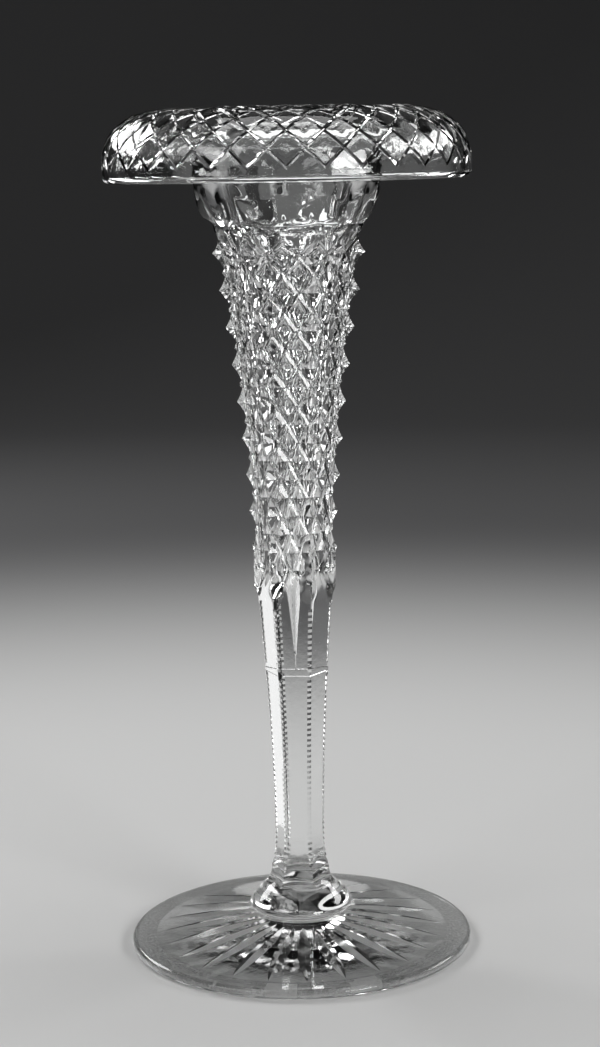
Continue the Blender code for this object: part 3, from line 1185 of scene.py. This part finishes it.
    def skin_radius(self, level: float, column: float) -> float:
        """Radius of the cut skin at a place on the body or the neck.

        Args:
            level: Level of the net.
            column: Column of the net.

        Returns:
            The radius. Above the highest points, broad scoops rise to arches on the neck.
        """
        angle = FULL_TURN * column / self.columns
        plain = self.point_radius(level) * six_sided(angle, self.level_sixness(level))
        plain -= self.knuckle_rise(level) * (1 - self.on_corner(column))
        if level <= self.last_points:
            return plain - self.cut_depth(level) * self.cut_share(level, column)
        depth = self.cut_depth(level)
        section = six_sided(angle, self.level_sixness(self.last_points))
        root = self.point_radius(self.last_points) * section - depth
        arch = self.point_radius(self.last_points + self.scoop_levels)
        share = (level - self.last_points) / self.scoop_levels
        scoop = root + (arch - root) * share**self.scoop_rise
        scoop += depth * (1 - self.hollowed(abs(column % 2 - 1)))
        inside = plain - scoop
        if abs(inside) < self.scoop_lip:
            return plain - (inside + self.scoop_lip) ** 2 / (4 * self.scoop_lip)
        return min(plain, scoop)

    def build_cut_body(self, bm: bmesh.types.BMesh) -> None:
        """Builds the upper stem, the body's pointed diamonds with hollow sides, and the plain neck.

        Args:
            bm: The mesh that takes them.
        """
        panels = self.panels
        stem_rows = panels.seam_rows(self.base, 1.0)
        stem_rows += panels.notched_rows(self.base + self.notch_margin, self.base + self.notch_run)
        neck_level = self.levels + self.neck_height / self.row_rise
        steps = range(-self.fine_steps, math.ceil(neck_level * self.fine_steps))
        levels = [step / self.fine_steps for step in steps]
        levels.append(neck_level)
        first = len(stem_rows)
        net = Net(bm, first + len(levels), FINE_COLUMNS, Surface.CUT)
        neck_row = first + levels.index(self.last_points) + self.fine_steps // 2
        coarse = self.columns / FINE_COLUMNS

        def point(row: int, column: int) -> Vector:
            """A point of the stem, the body or the neck.

            Args:
                row: Row of the net.
                column: Column of the net.

            Returns:
                The point.
            """
            if row < first:
                return panels.point(stem_rows[row], column, FINE_COLUMNS // SIDES)
            level = levels[row - first]
            return polar(self.skin_radius(level, column * coarse), net.angle(column), self.height(level))

        net.place(point)
        roots = []
        for (row, column), vert in net.verts.items():
            if row >= first and abs(self.from_point(levels[row - first], column * coarse) - 1) < WELD:
                roots.append(vert)
        bmesh.ops.connect_verts(bm, verts=roots)
        for row in range(neck_row, net.rows):
            for vert in net.row(row):
                for face in vert.link_faces:
                    face.material_index = Surface.BLOWN.value
        close_end(bm, net.row(0), Surface.SEAM)

    def build_underside(self, bm: bmesh.types.BMesh, rim: Rim) -> None:
        """Builds the rim's underside, from the neck's head out to the rounded lower edge.

        Args:
            bm: The mesh that takes it.
            rim: The rim.
        """
        curve = rim.curve
        neck_head = self.body_top + self.neck_height
        profile = []
        for angle in np.linspace(0.0, QUARTER_TURN, self.roof_steps):
            radius = curve.crest_radius - (curve.crest_radius - self.neck_head_radius) * math.cos(angle)
            profile.append((radius, neck_head + (curve.crest - rim.wall - neck_head) * math.sin(angle)))
        power = 2 / curve.squareness
        roof_radius = curve.rim_radius - rim.wall
        roof_rise = curve.shoulder_drop - rim.wall
        shoulder_height = curve.crest - curve.shoulder_drop
        for angle in np.linspace(QUARTER_TURN, 0.0, self.shoulder_steps)[1:]:
            reach = max(0.0, math.cos(angle)) ** power
            radius = curve.crest_radius + (roof_radius - curve.crest_radius) * reach
            profile.append((radius, shoulder_height + roof_rise * math.sin(angle) ** power))
        edge_radius = rim.wall / 2
        edge_height = curve.on_face(0.0)[1]
        for angle in np.linspace(-HALF_TURN, 0.0, self.edge_steps):
            radius = curve.rim_radius - edge_radius + edge_radius * math.cos(angle)
            profile.append((radius, edge_height + edge_radius * math.sin(angle)))
        profile.append(curve.on_face(rim.start_run))
        net = Net(bm, len(profile), FINE_COLUMNS, Surface.BLOWN)
        net.place_turned(profile)

    def build_hollow(self, bm: bmesh.types.BMesh, rim: Rim) -> None:
        """Builds the throat and the bore, down to the fine thread that its end was drawn out to.

        Args:
            bm: The mesh that takes them.
            rim: The rim.
        """
        curve = rim.curve
        profile = [curve.on_face(run) for run in np.linspace(rim.end_run, curve.runs[-1], self.throat_steps)]
        for level in np.linspace(self.throat_level, 0.0, self.bore_steps)[1:]:
            profile.append((self.bore_radius(float(level)), self.height(float(level))))
        last_radius, last_height = profile[-1]
        rises = [last_height - self.base] + [rise for rise, _radius in self.bore_end]
        radii = [last_radius] + [radius for _rise, radius in self.bore_end]
        last = len(rises) - 1
        for place in np.linspace(0.0, last, self.bore_end_steps * last + 1)[1:]:
            rise = float(np.interp(place, range(len(rises)), rises))
            profile.append((float(np.interp(place, range(len(radii)), radii)), self.base + rise))
        net = Net(bm, len(profile), FINE_COLUMNS, Surface.BORE)
        net.place_turned(profile)
        lowest, highest = (self.height(level) for level in self.ring_levels)
        for face in net.faces:
            if not lowest < face.calc_center_median().z < highest:
                face.material_index = Surface.BLOWN.value

    def build(self, finishes: Finishes) -> bpy.types.Object:
        """Builds the bowl's skin from the seam, up the body, over the rim and down the hollow.

        Args:
            finishes: The material of each kind of surface.

        Returns:
            The bowl.
        """
        bm = bmesh.new()
        curve = RimCurve(
            crest=self.body_top + self.crest_rise,
            throat_radius=self.bore_radius(self.throat_level),
            throat_height=self.height(self.throat_level),
        )
        rim = Rim(curve)
        rim.build(bm)
        self.build_cut_body(bm)
        self.build_underside(bm, rim)
        self.build_hollow(bm, rim)
        return finish_piece("bowl", bm, finishes)


@dataclass(frozen=True)
class Softbox:
    """A soft rectangular lamp aimed at the vase."""

    name: str
    place: Place
    size: tuple[float, float]
    power: float
    aim: Place = (0.0, 0.0, 0.15)

    def make(self) -> None:
        """Makes the lamp, seen in the glass but not by the camera."""
        lamp = bpy.data.lights.new(self.name, "AREA")
        lamp.shape = "RECTANGLE"
        lamp.size, lamp.size_y = self.size
        lamp.energy = self.power
        holder = add_object(self.name, lamp)
        place = Vector(self.place)
        facing = (Vector(self.aim) - place).to_track_quat("-Z", "Y")
        holder.matrix_world = Matrix.Translation(place) @ facing.to_matrix().to_4x4()
        holder.visible_camera = False


@dataclass(frozen=True)
class Card:
    """A card that only the glass sees: black to darken its edges, or white to light a panel."""

    name: str
    place: Place
    size: tuple[float, float]
    glow: float = 0.0
    mirrored: bool = True
    felt_colour: Colour = (0.01, 0.01, 0.01, 1.0)
    glow_colour: Colour = (1.0, 1.0, 1.0, 1.0)

    def make(self) -> None:
        """Makes the card, upright and facing the vase."""
        bm = bmesh.new()
        bmesh.ops.create_grid(bm, x_segments=1, y_segments=1, size=UNIT_HALF)
        bmesh.ops.scale(bm, vec=(*self.size, 1.0), verts=bm.verts)
        place = Vector(self.place)
        facing = Vector((place.x, place.y, 0.0)).to_track_quat("Z", "Y")
        stand = Matrix.Translation(place) @ facing.to_matrix().to_4x4()
        bmesh.ops.transform(bm, matrix=stand, verts=bm.verts)
        felt, shader = new_material(self.name + "_felt")
        set_inputs(shader, {"Base Color": self.felt_colour, "Roughness": 1.0, "Specular IOR Level": 0.0})
        set_inputs(shader, {"Emission Color": self.glow_colour, "Emission Strength": self.glow})
        mesh = mesh_from(self.name, bm)
        mesh.materials.append(felt)
        card = add_object(self.name, mesh)
        card.visible_camera = False
        card.visible_diffuse = False
        card.visible_glossy = self.mirrored
        card.visible_shadow = False


@dataclass
class Studio:
    """A round sweep, pale around the vase with painted falloff of light to a dark backdrop, soft lamps and
    the camera.
    """

    floor_colour: Colour = (0.74, 0.74, 0.735, 1.0)
    backdrop_colour: Colour = (0.11, 0.11, 0.112, 1.0)
    paper_roughness: float = 0.9
    paper_gloss: float = 0.2
    # Radii over which the floor's colour fades from pale to the backdrop colour: painted falloff of light
    # away from the vase.
    painted_falloff_start: float = 0.16
    painted_falloff_end: float = 0.95
    floor_radius: float = 1.5
    floor_rings: int = 6
    floor_columns: int = 96
    sweep_radius: float = 0.9
    sweep_steps: int = 24
    wall_top: float = 2.2
    room_colour: Colour = (0.03, 0.03, 0.03, 1.0)
    lens_px: float = 2150.0
    frame_px: float = 1047.0
    sensor_mm: float = 36.0
    nearest: float = 0.01
    glass_bounces: int = 24
    seam_bounces: int = 48
    camera_distance: float = 0.7527
    camera_height: float = 0.2824
    camera_side: float = 0.0022
    camera_azimuth: float = 5.6
    camera_tilt: float = 9.705
    camera_roll: float = -1.1
    lamps: tuple[Softbox, ...] = (
        Softbox("back_left_bank", (-0.9, 0.8, 0.78), (0.8, 0.45), 8.0),
        Softbox("right_window", (0.86, -0.88, 0.46), (0.46, 0.34), 6.0),
        Softbox("back_right_bank", (1.05, 0.6, 0.75), (0.7, 0.3), 4.5),
        Softbox("overhead_bank", (0.0, 0.2, 1.8), (1.2, 0.8), 7.0),
        Softbox("front_left_bank", (-0.9, -0.9, 0.8), (0.8, 0.4), 4.0),
    )
    cards: tuple[Card, ...] = (
        Card("left_flag", (-0.36, 0.8, 0.4), (0.3, 1.2)),
        Card("right_flag", (0.42, 0.8, 0.4), (0.3, 1.2)),
        Card("front_flag", (0.1, -1.3, 0.5), (0.8, 0.9)),
        Card("low_right_card", (0.105, 0.088, 0.065), (0.14, 0.13), 1.0, mirrored=False),
        Card("back_card", (0.2, 1.0, 0.3), (1.1, 0.6), 0.1, mirrored=False),
        Card("rim_card", (0.04, 0.97, 0.5), (0.44, 0.2), 1.4, mirrored=False),
    )

    def floor_material(self) -> bpy.types.Material:
        """Makes the paper of the floor.

        Returns:
            Pale matt paper with painted falloff of light: pale around the vase, darkening to a dark backdrop.
            It is open from below, to show the underside.
        """
        material, shader = new_material("pale_paper_with_painted_falloff")
        maker = NodeMaker(material.node_tree)
        # Painted falloff of light: the paper is pale around the vase and darkens with distance to the dark
        # backdrop colour.
        away = maker.add("ShaderNodeVectorMath", operation="LENGTH")
        maker.link(maker.add("ShaderNodeTexCoord").outputs["Object"], away.inputs[0])
        painted_falloff_mask = maker.add("ShaderNodeMapRange", interpolation_type="SMOOTHERSTEP")
        set_inputs(painted_falloff_mask, {"From Min": self.painted_falloff_start, "From Max": self.painted_falloff_end})
        maker.link(away.outputs["Value"], painted_falloff_mask.inputs["Value"])
        paper = maker.add("ShaderNodeMix", data_type="RGBA")
        paper.inputs["A"].default_value = self.floor_colour
        paper.inputs["B"].default_value = self.backdrop_colour
        maker.link(painted_falloff_mask.outputs["Result"], paper.inputs["Factor"])
        maker.link(paper.outputs["Result"], shader.inputs["Base Color"])
        set_inputs(shader, {"Roughness": self.paper_roughness, "Specular IOR Level": self.paper_gloss})
        mix = maker.add("ShaderNodeMixShader")
        maker.link(maker.add("ShaderNodeNewGeometry").outputs["Backfacing"], mix.inputs["Fac"])
        maker.link(shader.outputs["BSDF"], mix.inputs[1])
        maker.link(maker.add("ShaderNodeBsdfTransparent").outputs["BSDF"], mix.inputs[2])
        maker.link(mix.outputs["Shader"], material.node_tree.nodes["Material Output"].inputs["Surface"])
        return material

    def make_floor(self) -> None:
        """Makes the floor, swept up into a round wall."""
        bm = bmesh.new()
        profile = [(float(radius), 0.0) for radius in np.linspace(0.0, self.floor_radius, self.floor_rings)]
        for angle in np.linspace(0.0, QUARTER_TURN, self.sweep_steps)[1:]:
            radius = self.floor_radius + self.sweep_radius * math.sin(angle)
            profile.append((radius, self.sweep_radius * (1 - math.cos(angle))))
        profile.append((self.floor_radius + self.sweep_radius, self.wall_top))
        net = Net(bm, len(profile), self.floor_columns, Surface.CUT)
        net.place_turned(profile)
        bmesh.ops.remove_doubles(bm, verts=bm.verts, dist=WELD)
        bmesh.ops.recalc_face_normals(bm, faces=bm.faces)
        bm.faces.ensure_lookup_table()
        lowest = min(bm.faces, key=lambda face: face.calc_center_median().length)
        if lowest.normal.z < 0:
            bmesh.ops.reverse_faces(bm, faces=bm.faces)
        mesh = mesh_from("studio_sweep", bm)
        mesh.shade_smooth()
        mesh.materials.append(self.floor_material())
        floor = add_object("studio_sweep", mesh)

    def make_world(self) -> None:
        """Makes the dim room above the sweep."""
        world = bpy.data.worlds.new("studio_room")
        world.use_nodes = True
        set_inputs(world.node_tree.nodes["Background"], {"Color": self.room_colour})
        bpy.context.scene.world = world

    def make_camera(self) -> None:
        """Places the camera where the photograph was taken."""
        lens = bpy.data.cameras.new("photo_camera")
        lens.sensor_width = self.sensor_mm
        lens.lens = self.lens_px / self.frame_px * self.sensor_mm
        lens.clip_start = self.nearest
        camera = add_object("photo_camera", lens)
        place = Vector((self.camera_side, -self.camera_distance, self.camera_height))
        camera.matrix_world = (
            Matrix.Rotation(math.radians(self.camera_azimuth), 4, "Z")
            @ Matrix.Translation(place)
            @ Matrix.Rotation(math.radians(90 - self.camera_tilt), 4, "X")
            @ Matrix.Rotation(math.radians(self.camera_roll), 4, "Z")
        )
        bpy.context.scene.camera = camera

    def make(self) -> None:
        """Makes the whole studio."""
        self.make_floor()
        for lighting in (*self.lamps, *self.cards):
            lighting.make()
        self.make_world()
        self.make_camera()
        scene = bpy.context.scene
        scene.view_settings.view_transform = "Standard"
        scene.cycles.max_bounces = self.glass_bounces
        scene.cycles.transmission_bounces = self.glass_bounces
        scene.cycles.transparent_max_bounces = self.seam_bounces


def make_finishes() -> Finishes:
    """Makes the finish of each kind of surface.

    Returns:
        The materials by kind of surface.
    """
    smudges = make_smudge_group()
    ripple = make_ripple_group()
    cut = Crystal(
        name="cut_crystal",
        roughness=smudges,
        roughness_values={"Scale": 35.0, "Clear": 0.0, "Smudged": 0.02},
        ripple=ripple,
        ripple_values={"Scale": 420.0, "Fine": 0.4},
        ripple_depth=0.00003,
    )
    blown = Crystal(
        name="fire_polished_crystal",
        roughness=smudges,
        roughness_values={"Scale": 28.0, "Clear": 0.0, "Smudged": 0.05},
        ripple=ripple,
        ripple_values={"Scale": 90.0, "Fine": 0.2},
        ripple_depth=0.00006,
    )
    worn = Crystal(
        name="worn_resting_ring",
        roughness=make_scuff_group(),
        roughness_values={"Scale": 900.0, "Dull": 0.2, "Scuffed": 0.36},
        ripple=ripple,
        ripple_values={"Scale": 900.0, "Fine": 0.6},
        ripple_depth=0.00001,
    )
    bore = Crystal(
        name="tool_ringed_bore",
        roughness=smudges,
        roughness_values={"Scale": 28.0, "Clear": 0.0, "Smudged": 0.05},
        ripple=make_tool_ring_group(),
        ripple_values={"Scale": 75.0, "Uneven": 1.0},
        ripple_depth=0.00013,
    )
    star = Crystal(
        name="ground_star",
        roughness=smudges,
        roughness_values={"Scale": 120.0, "Clear": 0.06, "Smudged": 0.2},
        ripple=ripple,
        ripple_values={"Scale": 600.0, "Fine": 0.5},
        ripple_depth=0.00002,
    )
    return {
        Surface.CUT: cut.make(),
        Surface.BLOWN: blown.make(),
        Surface.SEAM: FusedSeam().make(),
        Surface.WORN: worn.make(),
        Surface.BORE: bore.make(),
        Surface.STAR: star.make(),
    }


def main() -> None:
    """Builds the studio and the four pieces of the vase, from the foot up."""
    logging.basicConfig(level=logging.INFO, format="%(message)s")
    Studio().make()
    finishes = make_finishes()
    collar_base = seam_height("foot", "collar")
    stem_base = seam_height("collar", "stem")
    stem_top = seam_height("stem", "bowl")
    panels = Panels(base=stem_base, head=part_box("bowl")[0].z + DRAWN_STEM)
    Foot(top=collar_base).build(finishes)
    Collar(base=collar_base, top=stem_base).build(finishes)
    Stem(panels=panels, top=stem_top).build(finishes)
    Bowl(base=stem_top, panels=panels).build(finishes)


if __name__ == "__main__":
    main()
